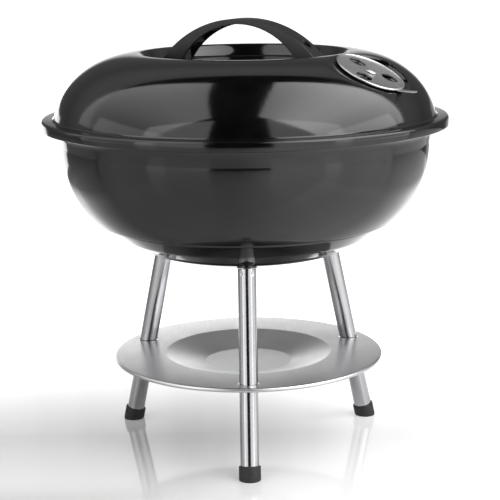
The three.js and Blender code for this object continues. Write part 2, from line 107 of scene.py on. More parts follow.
# ---------- outlines ----------
def arc(cx, cy, rx, ry, start, end, steps):
    """Points along an ellipse about (cx, cy), between two angles in degrees."""
    angles = [math.radians(start + (end - start) * i / steps) for i in range(steps + 1)]
    return [(cx + rx * math.cos(a), cy + ry * math.sin(a)) for a in angles]


def soften(points, setback, steps=6):
    """The line with each inner corner turned into a curve that starts `setback` before it."""
    line = [points[0]]
    for before, here, after in zip(points, points[1:], points[2:]):
        reach = []
        for other in (before, after):
            length = math.dist(here, other)
            share = min(setback, 0.45 * length) / length
            reach.append((here[0] + (other[0] - here[0]) * share, here[1] + (other[1] - here[1]) * share))
        for i in range(steps + 1):
            t = i / steps
            weights = ((1 - t) ** 2, 2 * t * (1 - t), t * t)
            corners = (reach[0], here, reach[1])
            line.append(tuple(sum(w * c[k] for w, c in zip(weights, corners)) for k in (0, 1)))
    return line + [points[-1]]


def offset_line(points, distance):
    """The same line moved sideways, to its right as it runs."""
    moved = []
    last = len(points) - 1
    for i, here in enumerate(points):
        inward = Vector(here) - Vector(points[i - 1]) if i else None
        outward = Vector(points[i + 1]) - Vector(here) if i < last else None
        inward = (inward or outward).normalized()
        outward = (outward or inward).normalized()
        along = (inward + outward).normalized()
        reach = distance / along.dot(outward)
        moved.append((here[0] + along.y * reach, here[1] - along.x * reach))
    return moved


def even_turns(count):
    """Angles all the way round, in radians."""
    return [math.tau * i / count for i in range(count)]


# ---------- meshes, built in millimetres ----------
def lathe(outline, turns=None, shape=None):
    """A closed (radius, height) outline turned about Z.

    `shape` may move each point, given its number in the outline."""
    turns = turns or even_turns(192)
    mesh = bmesh.new()
    rings = []
    for index, (radius, height) in enumerate(outline):
        angles = [0] if radius < 1e-6 else turns
        points = [Vector((radius * math.cos(a), radius * math.sin(a), height)) for a in angles]
        rings.append([mesh.verts.new(shape(index, p) if shape else p) for p in points])
    for low, high in zip(rings, rings[1:] + rings[:1]):
        if len(low) == 1 and len(high) == 1:
            continue
        for k in range(len(turns)):
            n = (k + 1) % len(turns)
            corners = [low[k % len(low)], low[n % len(low)], high[n % len(high)], high[k % len(high)]]
            mesh.faces.new(list(dict.fromkeys(corners)))
    bmesh.ops.recalc_face_normals(mesh, faces=mesh.faces)
    return mesh


def join_rings(mesh, rings):
    """Faces between each ring of points and the next."""
    for low, high in zip(rings, rings[1:]):
        for k in range(len(low)):
            n = (k + 1) % len(low)
            mesh.faces.new([low[k], low[n], high[n], high[k]])


def loft(sections):
    """Joins closed sections of the same count of points, and closes both ends."""
    mesh = bmesh.new()
    rings = [[mesh.verts.new(p) for p in section] for section in sections]
    join_rings(mesh, rings)
    ends = [mesh.faces.new(rings[0]), mesh.faces.new(rings[-1])]
    bmesh.ops.triangulate(mesh, faces=ends)
    bmesh.ops.recalc_face_normals(mesh, faces=mesh.faces)
    return mesh


def slab(outline, width, edge=0.3):
    """An (x, z) outline given thickness along Y, with small rounded edges."""
    centre = Vector((sum(p[0] for p in outline), sum(p[1] for p in outline))) / len(outline)
    half = width / 2
    sections = []
    for at, inset in ((-half, edge), (-half + edge, 0), (half - edge, 0), (half, edge)):
        section = []
        for x, z in outline:
            away = Vector((x, z)) - centre
            shrink = 1 - inset / max(away.length, 1)
            section.append(Vector((centre.x + away.x * shrink, at, centre.y + away.y * shrink)))
        sections.append(section)
    return loft(sections)


def block(half_x, half_y, low, high):
    """A plain upright block about Z, for ribs and cuts."""
    corners = ((-half_x, -half_y), (half_x, -half_y), (half_x, half_y), (-half_x, half_y))
    return loft([[Vector((x, y, z)) for x, y in corners] for z in (low, high)])


def cylinder(radius, low, high, steps=64):
    return lathe([(0, low), (radius, low), (radius, high), (0, high)], even_turns(steps))


def washer(inner, outer, low, high):
    soft = min(0.25, (high - low) / 3)
    loop = [(inner, low + soft), (inner + soft, low), (outer - soft, low), (outer, low + soft),
            (outer, high - soft), (outer - soft, high), (inner + soft, high), (inner, high - soft)]
    return lathe(loop, even_turns(64))


def hexagon(radius, low, high, bore=0.0):
    """A nut or bolt head: a hexagon whose corners are rounded off at both faces."""
    mesh = bmesh.new()
    apothem = radius * math.cos(math.pi / 6)
    levels = [(low, apothem), (low + 0.5, radius), (high - 0.7, radius), (high, apothem)]
    if bore:
        levels += [(high, bore), (low, bore)]
    rows = []
    for height, limit in levels:
        row = []
        for angle in even_turns(72):
            flat = apothem / math.cos((angle % (math.pi / 3)) - math.pi / 6)
            reach = min(flat, limit)
            row.append(mesh.verts.new((reach * math.cos(angle), reach * math.sin(angle), height)))
        rows.append(row)
    if bore:
        join_rings(mesh, rows + rows[:1])
    else:
        join_rings(mesh, rows)
        mesh.faces.new(rows[0])
        mesh.faces.new(rows[-1])
    bmesh.ops.recalc_face_normals(mesh, faces=mesh.faces)
    return mesh


def placed(mesh, matrix):
    """The same mesh, moved."""
    mesh.transform(matrix)
    return mesh


def merged(meshes):
    """Several meshes side by side in one."""
    whole = bmesh.new()
    for mesh in meshes:
        part = bpy.data.meshes.new("part")
        mesh.to_mesh(part)
        whole.from_mesh(part)
        bpy.data.meshes.remove(part)
    return whole


def shift(x=0, y=0, z=0):
    return Matrix.Translation((x, y, z))


def spin(degrees, axis="Z"):
    return Matrix.Rotation(math.radians(degrees), 4, axis)


def combined(mesh, tools, operation="DIFFERENCE"):
    """The mesh with every tool cut out of it or joined to it."""
    scene = bpy.context.scene
    objects = []
    for part in [mesh, *tools]:
        data = bpy.data.meshes.new("boolean")
        part.to_mesh(data)
        obj = bpy.data.objects.new("boolean", data)
        scene.collection.objects.link(obj)
        objects.append(obj)
    target = objects[0]
    for tool in objects[1:]:
        modifier = target.modifiers.new("boolean", "BOOLEAN")
        modifier.operation = operation
        modifier.solver = "MANIFOLD"
        modifier.object = tool
    bpy.context.view_layer.update()
    result = bpy.data.meshes.new_from_object(target.evaluated_get(bpy.context.evaluated_depsgraph_get()))
    out = bmesh.new()
    out.from_mesh(result)
    for obj in objects:
        bpy.data.objects.remove(obj)
    return out


LEG_FRAMES = {name: spin(turn) @ shift(FOOT_OUT) @ spin(LEG_TILT, "Y") for name, turn in LEG_TURNS.items()}
VENT_FRAME = spin(VENT_TURN) @ shift(VENT_OUT, 0, VENT_HEIGHT) @ spin(VENT_TILT, "Y")
HANDLE_FRAME = spin(HANDLE_TURN)


# ---------- materials ----------
def new_material(name, color, roughness, metallic=0.0):
    material = bpy.data.materials.new(name)
    material.use_nodes = True
    nodes = material.node_tree.nodes
    shader = nodes["Principled BSDF"]
    shader.inputs["Base Color"].default_value = (*color, 1)
    shader.inputs["Roughness"].default_value = roughness
    shader.inputs["Metallic"].default_value = metallic
    return material, material.node_tree, shader


def noise(tree, scale, detail=3.0, stretch=(1, 1, 1)):
    """A noise value over the object's own coordinates, in features per metre."""
    where = tree.nodes.new("ShaderNodeTexCoord")
    mapping = tree.nodes.new("ShaderNodeMapping")
    mapping.inputs["Scale"].default_value = stretch
    texture = tree.nodes.new("ShaderNodeTexNoise")
    texture.inputs["Scale"].default_value = scale
    texture.inputs["Detail"].default_value = detail
    tree.links.new(where.outputs["Object"], mapping.inputs["Vector"])
    tree.links.new(mapping.outputs["Vector"], texture.inputs["Vector"])
    return texture.outputs["Fac"]


def fade(tree, value, start, end, low, high):
    """A value carried from the range start to end to the range low to high."""
    node = tree.nodes.new("ShaderNodeMapRange")
    node.inputs["From Min"].default_value = start
    node.inputs["From Max"].default_value = end
    node.inputs["To Min"].default_value = low
    node.inputs["To Max"].default_value = high
    tree.links.new(value, node.inputs["Value"])
    return node.outputs["Result"]


def spread(tree, value, low, high):
    """A noise value carried to the range low to high."""
    return fade(tree, value, 0.3, 0.7, low, high)


def tint(tree, value, dark, light):
    """A noise value as a colour between two others."""
    node = tree.nodes.new("ShaderNodeValToRGB")
    node.color_ramp.elements[0].position = 0.3
    node.color_ramp.elements[0].color = (*dark, 1)
    node.color_ramp.elements[1].position = 0.7
    node.color_ramp.elements[1].color = (*light, 1)
    tree.links.new(value, node.inputs["Fac"])
    return node.outputs["Color"]


def bump(tree, shader, value, distance, strength):
    node = tree.nodes.new("ShaderNodeBump")
    node.inputs["Strength"].default_value = strength
    node.inputs["Distance"].default_value = distance
    tree.links.new(value, node.inputs["Height"])
    tree.links.new(node.outputs["Normal"], shader.inputs["Normal"])


def enamel(name):
    material, tree, shader = new_material(name, (0.0016, 0.0016, 0.0017), 0.1)
    wave = noise(tree, 22, 2)
    tree.links.new(spread(tree, wave, 0.07, 0.13), shader.inputs["Roughness"])
    tree.links.new(tint(tree, noise(tree, 60), (0.0010, 0.0010, 0.0011), (0.0022, 0.0022, 0.0023)),
                   shader.inputs["Base Color"])
    bump(tree, shader, noise(tree, 260, 2), 0.00004, 0.35)
    return material


def plastic():
    material, tree, shader = new_material("moulded_plastic", (0.006, 0.006, 0.006), 0.36)
    tree.links.new(spread(tree, noise(tree, 900), 0.32, 0.42), shader.inputs["Roughness"])
    tree.links.new(tint(tree, noise(tree, 120), (0.004, 0.004, 0.004), (0.008, 0.008, 0.008)),
                   shader.inputs["Base Color"])
    shader.inputs["Specular IOR Level"].default_value = 0.33
    bump(tree, shader, noise(tree, 2600, 4), 0.00008, 0.5)
    return material


def rubber():
    material, tree, shader = new_material("foot_rubber", (0.006, 0.006, 0.006), 0.6)
    tree.links.new(spread(tree, noise(tree, 500), 0.5, 0.75), shader.inputs["Roughness"])
    tree.links.new(tint(tree, noise(tree, 200), (0.004, 0.004, 0.004), (0.009, 0.009, 0.009)),
                   shader.inputs["Base Color"])
    bump(tree, shader, noise(tree, 1800, 3), 0.0001, 0.5)
    return material


def steel(name, color, low, high, scale, stretch, grain=0.00001):
    """Metal with a grain: the noise is stretched along the direction it was worked in."""
    material, tree, shader = new_material(name, color, (low + high) / 2, 1.0)
    lines = noise(tree, scale, 4, stretch)
    tree.links.new(spread(tree, lines, low, high), shader.inputs["Roughness"])
    darker = tuple(0.9 * c for c in color)
    tree.links.new(tint(tree, noise(tree, 35, 3), darker, color), shader.inputs["Base Color"])
    bump(tree, shader, lines, grain, 0.25)
    return material


ENAMEL = enamel("gloss_enamel")
PLASTIC = plastic()
RUBBER = rubber()
PLATE_STEEL = steel("satin_plate", (0.56, 0.56, 0.57), 0.3, 0.36, 900, (1, 0.05, 1), 0.000004)
TUBE_STEEL = steel("satin_tube", (0.42, 0.42, 0.43), 0.13, 0.18, 900, (1, 1, 0.03), 0.000004)
ZINC = steel("zinc_plating", (0.48, 0.49, 0.5), 0.25, 0.4, 500, (1, 1, 1))
WIRE = steel("plated_wire", (0.7, 0.71, 0.72), 0.14, 0.26, 600, (1, 1, 1))
DISC_STEEL = steel("satin_disc", (0.52, 0.52, 0.53), 0.28, 0.4, 900, (1, 0.06, 1))
BRACKET = enamel("bracket_enamel")


def show(name, mesh, material, body, node, sharp=32):
    """Turns a mesh into a piece of the visual model, in metres, on a body and in place of a CAD node.

    Edges that turn by more than `sharp` degrees stay crisp."""
    mesh.transform(Matrix.Scale(0.001, 4))
    data = bpy.data.meshes.new(name)
    mesh.to_mesh(data)
    mesh.free()
    data.shade_smooth()
    data.set_sharp_from_angle(angle=math.radians(sharp))
    data.materials.append(material)
    obj = bpy.data.objects.new(name, data)
    bpy.context.scene.collection.objects.link(obj)
    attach(obj, body)
    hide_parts(node)


# ---------- lid ----------
def lid_outside():
    """The lid's outside line, from the middle of the recess to the foot of the skirt."""
    wall = []
    steps = 16
    for i in range(steps):
        share = i / steps
        rise = (1 - math.cos(math.pi * share)) / 2
        wall.append((RECESS_RADIUS + (CREST_RADIUS - RECESS_RADIUS) * share,
                     RECESS_FLOOR + (CREST_TOP - RECESS_FLOOR) * rise))
    dome_rise = CREST_TOP - DOME_HEIGHT
    crease_rise = 1.4
    dome_end = math.degrees(math.asin((FLANGE_TOP + crease_rise - DOME_HEIGHT) / dome_rise))
    dome = arc(CREST_RADIUS, DOME_HEIGHT, DOME_RADIUS - CREST_RADIUS, dome_rise, 90, dome_end, 100)
    lip = arc(RIM_RADIUS - LIP, FLANGE_TOP - LIP, LIP, LIP, 90, 0, 8)
    crease = soften([dome[-1], (DOME_RADIUS + 0.4, FLANGE_TOP), lip[0]], 0.9, 5)
    return [(0, RECESS_FLOOR), *wall, *dome[:-1], *crease[:-1], *lip, (RIM_RADIUS, SKIRT_BOTTOM + 0.4)]


def lid_turns():
    """Columns round the lid, close together where the vent's pocket is."""
    first, last = VENT_TURN - 34, VENT_TURN + 20
    fine, coarse = 150, 218
    turns = [first + (last - first) * i / fine for i in range(fine)]
    turns += [last + (360 - last + first) * i / coarse for i in range(coarse)]
    return [math.radians(turn) for turn in turns]


def smooth_least(a, b, blend):
    """The lesser of two values, rounded where they come within `blend` of each other."""
    near = max(blend - abs(a - b), 0)
    return min(a, b) - near * near / (4 * blend)


def pocket_wall(out):
    """How far the pocket's wall has risen at a distance out from its floor: a fillet, then a slope."""
    slope, fillet = 2.0, 1.4
    if out <= 0:
        return 0
    return slope * out * out / (2 * fillet) if out < fillet else slope * (out - fillet / 2)


def pocket_height(x, y, radius, floor):
    """How high the pocket's surface stands at a place in the vent's own frame."""
    away = math.hypot(x - min(max(x, 0), POCKET_RUN), y) - radius
    height = floor + pocket_wall(away)
    if y < 0:
        edge = -math.sqrt(max(radius * radius - x * x, 0))
        ramp = floor + RAMP_SLOPE * max(0, edge - y) + pocket_wall(abs(x) - radius)
        height = smooth_least(height, ramp, 0.8)
    return height


def lid_mesh():
    """The lid's pressing, with the vent's pocket pressed into the dome and every hole cut."""
    outside = lid_outside()
    inside = offset_line(outside, SHEET)
    inside[0] = (0, RECESS_FLOOR - SHEET)
    hem = arc(RIM_RADIUS - SHEET / 2, SKIRT_BOTTOM + SHEET / 2, SHEET / 2, SHEET / 2, 0, -180, 6)
    to_vent = VENT_FRAME.inverted()

    def pressed(index, place):
        local = to_vent @ place
        if math.hypot(local.x, local.y) > POCKET_REACH:
            return place
        outer = index < len(outside)
        radius = POCKET_RADIUS + (0 if outer else SHEET)
        floor = -GAP - (0 if outer else SHEET)
        level = pocket_height(local.x, local.y, radius, floor)
        local.z = smooth_least(local.z, level, 1.6)
        return VENT_FRAME @ local

    solid = lathe([*outside[:-1], *hem, *reversed(inside[:-1])], lid_turns(), pressed)
    holes = [placed(cylinder(PIN_HOLE, *VENT_CUT), VENT_FRAME)]
    for turn in VENT_HOLE_TURNS:
        hole = cylinder(VENT_HOLE, *VENT_CUT, 96)
        holes.append(placed(hole, VENT_FRAME @ spin(turn + VENT_SLACK) @ shift(VENT_HOLE_OUT)))
    for end in (-1, 1):
        hole = cylinder(PIN_HOLE, RECESS_FLOOR - 9, RECESS_FLOOR + 9)
        holes.append(placed(hole, HANDLE_FRAME @ shift(end * SCREW_OUT)))
    return combined(solid, holes)


def arch(centre, radius):
    """One of the handle's two arcs, from foot to foot."""
    start = math.degrees(math.asin((HANDLE_FOOT - centre) / radius))
    return arc(0, centre, radius, radius, 180 - start, start, 96)


def handle_section(depth):
    """(across, deep) points round the strap, which is open underneath, with a fine groove along each edge."""
    half = HANDLE_WIDTH / 2
    inner_half = half - HANDLE_SKIN
    groove = half - 2.7
    hollow = min(HANDLE_SKIN, depth - 1.2)
    under = [(inner_half, hollow + 0.8), (inner_half, depth - 0.3),
             (inner_half + 0.3, depth), (half - 0.3, depth)]
    side = [(half, depth - 0.3), *arc(half - 1.1, 1.1, 1.1, 1.1, 0, -90, 5)]
    dip = [(groove + 0.55, 0), (groove + 0.25, 0.55), (groove - 0.25, 0.55), (groove - 0.55, 0)]
    right = [*under, *side, *dip]
    left = [(-across, deep) for across, deep in reversed(right)]
    return [(inner_half - 0.8, hollow), *right, *left, (0.8 - inner_half, hollow)]


def handle_strap():
    """The strap alone, in stations along its two arcs."""
    sections = []
    arches = zip(arch(OUTER_CENTRE, HANDLE_OUTER), arch(INNER_CENTRE, HANDLE_INNER))
    for (outer_x, outer_z), (inner_x, inner_z) in arches:
        top = Vector((outer_x, 0, outer_z))
        down = Vector((inner_x, 0, inner_z)) - top
        depth = down.length
        down.normalize()
        section = handle_section(depth)
        sections.append([top + down * deep + Vector((0, across, 0)) for across, deep in section])
    return loft(sections)


def handle_mesh():
    """The arch strap with a boss and a counterbore for each screw, and ribs across its hollow."""
    extras = []
    bores = []
    for end in (-1, 1):
        at = shift(end * SCREW_OUT)
        extras.append(placed(cylinder(BOSS_RADIUS, HANDLE_FOOT, SCREW_HEAD + 2), at))
        bores.append(placed(cylinder(SCREW_HOLE, HANDLE_FOOT - 1, HANDLE_TOP), at))
        bores.append(placed(cylinder(COUNTERBORE, SCREW_HEAD, HANDLE_TOP), at))
    for out in RIB_PLACES:
        top = OUTER_CENTRE + math.sqrt(HANDLE_OUTER ** 2 - out * out) - 1
        low = INNER_CENTRE + math.sqrt(HANDLE_INNER ** 2 - out * out) + 0.6
        extras.append(placed(block(RIB_HALF, RIB_REACH, low, top), shift(out)))
    return placed(combined(combined(handle_strap(), extras, "UNION"), bores), HANDLE_FRAME)


def screw_mesh(end):
    """A pan-head screw with a cross in it."""
    low = SCREW_HEAD + GAP
    top = low + 2.8
    head = [(4.3, low + 0.3), (4.3, low + 0.9), *arc(0, low + 0.9, 4.3, 1.9, 0, 90, 10)]
    tip = RECESS_FLOOR - SHEET - SCREW_LENGTH
    line = [(0, tip), (2.0, tip), (2.5, tip + 0.6), (2.5, low), (4.0, low), *head]
    screw = lathe(line, even_turns(64))
    cross = [block(0.55, 2.6, top - 1.6, top + 1), block(2.6, 0.55, top - 1.6, top + 1)]
    return placed(combined(screw, cross), HANDLE_FRAME @ shift(end * SCREW_OUT))


def rivet_line(head, tail):
    """A rivet's outline from its spread tail to its domed head, pointing up or down."""
    up = 1 if head > tail else -1
    dome = [(5.4 * math.cos(a), head + up * (0.4 + 1.7 * math.sin(a)))
            for a in (math.radians(9 * i) for i in range(11))]
    return [(0, tail - 1.6 * up), (3.6, tail - 1.6 * up), (4.4, tail - 0.9 * up), (4.5, tail), (2.5, tail),
            (2.5, head), (5.1, head), *dome[:-1], (0, head + 2.1 * up)]


def tab_section(low, high, half):
    """A strip's section between two (x, z) points, `half` to each side, with softened corners."""
    middle = [(a + b) / 2 for a, b in zip(low, high)]
    edge = half - 0.25
    ring = [(low, -edge), (low, edge), (low, half), (high, half),
            (high, edge), (high, -edge), (high, -half), (low, -half)]
    section = []
    for (x, z), y in ring:
        pull = 0.35 if abs(y) == half else 0
        section.append(Vector((x + (middle[0] - x) * pull, y, z + (middle[1] - z) * pull)))
    return section


def vent_tab_mesh():
    """The finger tab, bent up from the disc's edge and narrower at its end."""
    line = soften([(VENT_RADIUS - 3, 0.6), (VENT_RADIUS + 0.2, 0.7), (VENT_RADIUS + 13.8, 6.7)], 2.5, 8)
    halves = [TAB_HALF] * (len(line) - 1) + [TAB_END_HALF]
    faces = zip(offset_line(line, TAB_THICK / 2), offset_line(line, -TAB_THICK / 2), halves)
    return loft([tab_section(low, high, half) for low, high, half in faces])


def vent_disc_mesh():
    """The damper: a flat disc with a rolled rim, three holes and the finger tab."""
    rim = arc(VENT_RADIUS - 1.05, 1.15, 1.05, 1.05, -60, 165, 14)
    line = [(PIN_HOLE, 0.1), (PIN_HOLE + 0.1, 0), (VENT_RADIUS - 1.2, 0), *rim,
            (VENT_RADIUS - 2.6, 1.35), (VENT_RADIUS - 3.4, VENT_PLATE),
            (PIN_HOLE + 0.1, VENT_PLATE), (PIN_HOLE, VENT_PLATE - 0.1)]
    disc = lathe(line, even_turns(160))
    holes = []
    for turn in VENT_HOLE_TURNS:
        holes.append(placed(cylinder(VENT_HOLE, -5, 5, 96), spin(turn) @ shift(VENT_HOLE_OUT)))
    return combined(combined(disc, [vent_tab_mesh()], "UNION"), holes)


def build_lid():
    show("lid_enamel", lid_mesh(), ENAMEL, "lid", "lid_shell", 38)
    show("handle_strap", handle_mesh(), PLASTIC, "lid", "lid_handle")
    washer_top = RECESS_FLOOR - SHEET - GAP
    nut_top = washer_top - WASHER_PLATE - GAP
    nut_low = RECESS_FLOOR - SHEET - 6
    for name, end in (("left", -1), ("right", 1)):
        at = HANDLE_FRAME @ shift(end * SCREW_OUT)
        show(f"screw_{name}", screw_mesh(end), ZINC, "lid", f"handle_screw_{name}")
        ring = placed(washer(SCREW_HOLE, WASHER_RADIUS, washer_top - WASHER_PLATE, washer_top), at)
        show(f"washer_{name}", ring, ZINC, "lid", f"handle_washer_{name}")
        nut = placed(hexagon(NUT_RADIUS, nut_low, nut_top, SCREW_HOLE), at)
        show(f"nut_{name}", nut, ZINC, "lid", f"handle_nut_{name}", 25)
    disc = placed(vent_disc_mesh(), VENT_FRAME)
    show("damper", disc, DISC_STEEL, "lid_damper", "lid_vent_damper")
    tail = -SHEET - 3 * GAP - SPRING_PLATE
    rivet = placed(lathe(rivet_line(VENT_PLATE + GAP, tail), even_turns(64)), VENT_FRAME)
    show("damper_rivet", rivet, ZINC, "lid", "lid_vent_rivet")
    spring = placed(washer(SCREW_HOLE, SPRING_RADIUS, tail + GAP, tail + GAP + SPRING_PLATE), VENT_FRAME)
    show("damper_washer", spring, ZINC, "lid", "lid_vent_washer")


# ---------- bowl ----------
def bowl_curve(angle):
    """A point of the bowl's round side: 0 degrees is at its top, 90 at its bottom."""
    power = 2 / BOWL_FULLNESS
    return (BOWL_START + (NECK_RADIUS - BOWL_START) * math.cos(math.radians(angle)) ** power,
            BOWL_TOP - (BOWL_TOP - BOWL_BOTTOM) * math.sin(math.radians(angle)) ** power)


def bowl_lines():
    """The wall's outside and inside lines, from the middle of the bottom up to the neck."""
    share = (BOWL_TOP - STEP_HEIGHT) / (BOWL_TOP - BOWL_BOTTOM)
    step_angle = math.degrees(math.asin(share ** (BOWL_FULLNESS / 2)))
    steps = 48
    side = [bowl_curve(step_angle * (1 - i / steps)) for i in range(steps + 1)]
    ledge = side[0][0] - STEP_DEPTH
    pan = [(0, BOWL_BOTTOM), (BOWL_FLAT, BOWL_BOTTOM),
           ((BOWL_FLAT + PAN_RADIUS) / 2 + 3, (BOWL_BOTTOM + PAN_HEIGHT) / 2 - 0.7),
           (PAN_RADIUS, PAN_HEIGHT), (PAN_RADIUS + 1.5, PAN_HEIGHT + 2.2),
           ((PAN_RADIUS + ledge) / 2 + 3, (PAN_HEIGHT + STEP_HEIGHT) / 2 - 1.5),
           (ledge, STEP_HEIGHT - 2.5), (ledge, STEP_HEIGHT), side[0], side[1]]
    neck = arc(NECK_RADIUS + 9.4, NECK_HEIGHT + 1, 8.6, 9.5, 172, 108, 12)
    upper = [*side[1:], *neck]
    lines = []
    for distance in (0, -SHEET):
        low = offset_line(pan, distance)[:-1]
        low[0] = (0, BOWL_BOTTOM - distance)
        high = offset_line(upper, distance)
        lines.append([*soften([*low, high[0]], 3, 6)[:-1], *soften(high, 0.8, 2)])
    return lines


def bowl_mesh():
    """The bowl with its rolled rim, and its holes for vent, rivet and leg bolts."""
    outside, inside = bowl_lines()
    bead = arc(BEAD_RADIUS, BEAD_HEIGHT, BEAD_SIZE, BEAD_SIZE, -55, 180, 22)
    solid = lathe([*outside, *bead, *reversed(inside)], even_turns(288))
    holes = [cylinder(PIN_HOLE, *BOTTOM_CUT)]
    for turn in BOTTOM_HOLE_TURNS:
        holes.append(placed(cylinder(BOTTOM_HOLE, *BOTTOM_CUT), spin(turn) @ shift(BOTTOM_HOLE_OUT)))
    for at in LEG_FRAMES.values():
        holes.append(placed(cylinder(BOLT_HOLE, LEG_LENGTH - 20, LEG_LENGTH + 30), at))
    return combined(solid, holes)


def bowl_filled(clearance):
    """The bowl's whole volume grown by a clearance, to shape what is fitted against it."""
    outside = offset_line(bowl_lines()[0], clearance)
    outside[0] = (0, BOWL_BOTTOM - clearance)
    return lathe([*outside, (0, outside[-1][1])], even_turns(288))


# ---------- legs ----------
def tube_mesh():
    """A tube with softened ends and the two crimp marks that hold the threaded slug."""
    inner = LEG_RADIUS - LEG_WALL
    fine_from = TUBE_HIGH - 14
    rows = [TUBE_LOW + 0.3 + i * 6 for i in range(28)]
    rows = [row for row in rows if row < fine_from] + [TUBE_HIGH - 13 + 0.5 * i for i in range(26)]
    outline = [(inner + 0.2, TUBE_LOW), (LEG_RADIUS - 0.3, TUBE_LOW), *[(LEG_RADIUS, row) for row in rows],
               (LEG_RADIUS - 0.3, TUBE_HIGH), (inner + 0.2, TUBE_HIGH),
               (inner, TUBE_HIGH - 0.2), (inner, TUBE_LOW + 0.2)]

    def crimped(_, place):
        out = math.hypot(place.x, place.y)
        if out < LEG_RADIUS - 0.1:
            return place
        dent = 0
        for turn in CRIMP_TURNS:
            angle = math.atan2(place.y, place.x) - math.radians(turn)
            sideways = LEG_RADIUS * ((angle + math.pi) % math.tau - math.pi)
            along = place.z - (TUBE_HIGH - CRIMP_DOWN)
            dent += CRIMP_DEPTH * math.exp(-(sideways ** 2 + along ** 2) / 1.3)
        shrink = 1 - dent / out
        return Vector((place.x * shrink, place.y * shrink, place.z))

    return lathe(outline, even_turns(120), crimped)


def foot_mesh(at):
    """A rubber cap: rounded, with a lip round the tube, pressed flat where it stands on the floor."""
    cup = LEG_RADIUS + 0.12
    line = [(0, -4), (CAP_RADIUS - 3, -4), *arc(CAP_RADIUS - 3, 0, 3, 4, -90, 0, 8), (CAP_RADIUS, 3),
            (CAP_RADIUS, CAP_LENGTH - 1.2), *arc(CAP_RADIUS - 1.2, CAP_LENGTH - 1.2, 1.2, 1.2, 0, 90, 6),
            (cup + 0.3, CAP_LENGTH), (cup, CAP_LENGTH - 0.3), (cup, TUBE_LOW - GAP), (0, TUBE_LOW - GAP)]
    mesh = placed(lathe(line, even_turns(96)), at)
    for vertex in mesh.verts:
        vertex.co.z = max(vertex.co.z, 0)
    bmesh.ops.dissolve_degenerate(mesh, dist=1e-4, edges=mesh.edges)
    return mesh


def socket_mesh(at):
    """The enamelled collar between tube and bowl, shaped to the bowl."""
    low = TUBE_HIGH + 0.25
    top = TUBE_HIGH + SOCKET_LENGTH
    line = [(BOLT_HOLE, low), (LEG_RADIUS + 0.3, low), (LEG_RADIUS + 0.6, low + 0.4),
            (LEG_RADIUS + 0.6, low + 1.4), (LEG_RADIUS - 0.9, top), (BOLT_HOLE, top)]
    return combined(placed(lathe(line, even_turns(96)), at), [bowl_filled(0.06)])


def inside_bowl(radius, low, thick, at):
    """Whether a disc on the leg's axis stands clear of the bowl's inside."""
    outline = bowl_lines()[1]
    for turn in even_turns(24):
        for level in (low, low + thick):
            spot = at @ Vector((radius * math.cos(turn), radius * math.sin(turn), level))
            out = math.hypot(spot.x, spot.y)
            floor = next(a[1] + (b[1] - a[1]) * (out - a[0]) / (b[0] - a[0])
                         for a, b in zip(outline, outline[1:]) if a[0] <= out < b[0])
            if spot.z < floor + 0.1:
                return False
    return True


def bolt_mesh(seat):
    """A hexagon bolt, from its head on the washer down into the threaded slug."""
    head = hexagon(BOLT_HEAD, seat + 1.5, seat + 1.8 + 4)
    shank = cylinder(BOLT_RADIUS, TUBE_HIGH - 14.5, seat + 2.5, 48)
    return combined(head, [shank], "UNION")


def build_legs():
    slug_radius = LEG_RADIUS - LEG_WALL - 0.1
    for name, at in LEG_FRAMES.items():
        show(f"tube_{name}", placed(tube_mesh(), at), TUBE_STEEL, "base", f"leg_tube_{name}")
        show(f"foot_{name}", foot_mesh(at), RUBBER, "base", f"leg_foot_{name}")
        show(f"socket_{name}", socket_mesh(at), ENAMEL, "base", f"leg_socket_{name}")
        slug = placed(washer(BOLT_HOLE, slug_radius, TUBE_HIGH - 18.5, TUBE_HIGH - 0.5), at)
        show(f"insert_{name}", slug, ZINC, "base", f"leg_insert_{name}")
        seat = LEG_LENGTH
        while not inside_bowl(SEAT_RADIUS, seat, SEAT_PLATE, at):
            seat += 0.25
        disc = placed(washer(BOLT_HOLE, SEAT_RADIUS, seat, seat + SEAT_PLATE), at)
        show(f"bolt_washer_{name}", disc, ZINC, "base", f"leg_bolt_washer_{name}")
        bolt = placed(bolt_mesh(seat), at)
        show(f"bolt_{name}", bolt, ZINC, "base", f"leg_bolt_{name}", 25)


# ---------- ash tray ----------
def tray_mesh():
    """The dished tray with a rolled edge, and a hole for each leg."""
    floor = TRAY_TOP - TRAY_DEPTH
    rim = TRAY_RADIUS - TRAY_EDGE
    dish = [(0, floor), (SLOPE_INNER - 1, floor), (SLOPE_INNER + 1, floor + 0.5),
            (SLOPE_OUTER - 1, TRAY_TOP - 0.5), (SLOPE_OUTER + 1, TRAY_TOP), (rim, TRAY_TOP)]
    top = soften(dish, 1.2, 5)
    under = offset_line(top, TRAY_SHEET)
    under[0] = (0, floor - TRAY_SHEET)
    roll = arc(rim - 0.3, TRAY_TOP - TRAY_CURL, TRAY_CURL, TRAY_CURL, 90, -150, 18)
    line = [*top[:-1], *roll, (rim - 2.4, TRAY_TOP - TRAY_SHEET), *reversed(under[:-1])]
    holes = [placed(cylinder(TRAY_HOLE, *TRAY_CUT), at) for at in LEG_FRAMES.values()]
    return combined(lathe(line, even_turns(256)), holes)


# ---------- grates ----------
def rod(length, thickness):
    """A wire along Y with rounded ends."""
    radius = thickness / 2
    end = length / 2 - radius
    line = [*arc(0, -end, radius, radius, -90, 0, 4), *arc(0, end, radius, radius, 0, 90, 4)]
    return placed(lathe(line, even_turns(14)), spin(90, "X"))


